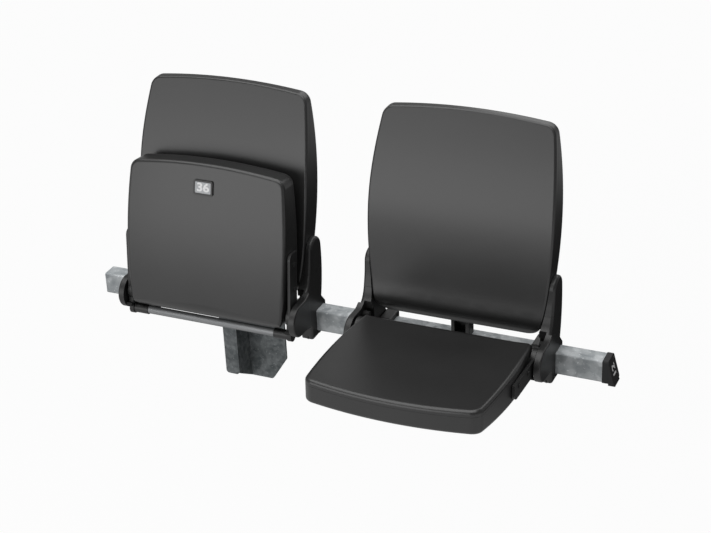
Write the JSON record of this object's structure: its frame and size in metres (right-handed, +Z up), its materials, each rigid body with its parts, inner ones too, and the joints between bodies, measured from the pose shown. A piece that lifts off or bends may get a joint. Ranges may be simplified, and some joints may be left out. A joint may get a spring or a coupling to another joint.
{
  "type": "tip-up stadium seat pair",
  "caption": "Two tip-up spectator seats with tall curved backs on one square steel beam, hung on a wall bracket; one seat folded up, one down.",
  "frame": {"origin": "back face of the bracket's wall plate, midway between its two bolt holes", "axes": "+X along the beam, +Y from the sitters towards the wall, +Z up"},
  "size_m": [1.197, 0.4864, 0.7185],
  "materials": {
    "galvanised_steel": "hot-dip galvanised, mottled",
    "tube_steel": "satin",
    "fasteners": "zinc plated",
    "arm_plastic": "satin moulded",
    "seat_plastic": "satin moulded",
    "black_plastic": "matt",
    "bush_plastic": "smooth",
    "buffer_rubber": "matt",
    "number_plate": "satin"
  },
  "bodies": {
    "frame": {"beam": "galvanised_steel", "beam_ubolts": "fasteners", "end_cap": "black_plastic", "left_seat_back_block": "black_plastic", "left_seat_back_panel": "seat_plastic", "left_seat_back_screws": "fasteners", "left_seat_back_shell": "seat_plastic", "left_seat_clamp_nuts": "fasteners", "left_seat_clamp_screws": "fasteners", "left_seat_left_arm": "arm_plastic", "left_seat_left_arm_cover": "arm_plastic", "left_seat_left_clamp_jaw": "arm_plastic", "left_seat_pivot_pins": "fasteners", "left_seat_right_arm": "arm_plastic", "left_seat_right_arm_cover": "arm_plastic", "left_seat_right_clamp_jaw": "arm_plastic", "left_seat_stop_buffers": "buffer_rubber", "right_seat_back_block": "black_plastic", "right_seat_back_panel": "seat_plastic", "right_seat_back_screws": "fasteners", "right_seat_back_shell": "seat_plastic", "right_seat_clamp_nuts": "fasteners", "right_seat_clamp_screws": "fasteners", "right_seat_left_arm": "arm_plastic", "right_seat_left_arm_cover": "arm_plastic", "right_seat_left_clamp_jaw": "arm_plastic", "right_seat_pivot_pins": "fasteners", "right_seat_right_arm": "arm_plastic", "right_seat_right_arm_cover": "arm_plastic", "right_seat_right_clamp_jaw": "arm_plastic", "right_seat_stop_buffers": "buffer_rubber", "riser_bracket": "galvanised_steel", "ubolt_nuts": "fasteners"},
    "left_seat": {"left_seat_cross_tube": "tube_steel", "left_seat_hinge_bushes": "bush_plastic", "left_seat_left_hinge_arm": "arm_plastic", "left_seat_number_holder": "black_plastic", "left_seat_number_plate": "number_plate", "left_seat_pan_screws": "fasteners", "left_seat_pan_top": "seat_plastic", "left_seat_pan_underside": "seat_plastic", "left_seat_right_hinge_arm": "arm_plastic"},
    "right_seat": {"right_seat_cross_tube": "tube_steel", "right_seat_hinge_bushes": "bush_plastic", "right_seat_left_hinge_arm": "arm_plastic", "right_seat_number_holder": "black_plastic", "right_seat_number_plate": "number_plate", "right_seat_pan_screws": "fasteners", "right_seat_pan_top": "seat_plastic", "right_seat_pan_underside": "seat_plastic", "right_seat_right_hinge_arm": "arm_plastic"}
  },
  "joints": [
    {"name": "left_seat_tip", "type": "hinge", "parent": "frame", "child": "left_seat", "pos_m": [-0.0365, -0.141, -0.006], "axis": [1, 0, 0], "range_deg": [0, 93]},
    {"name": "right_seat_tip", "type": "hinge", "parent": "frame", "child": "right_seat", "pos_m": [0.5035, -0.141, -0.006], "axis": [-1, 0, 0], "range_deg": [0, 93]}
  ]
}
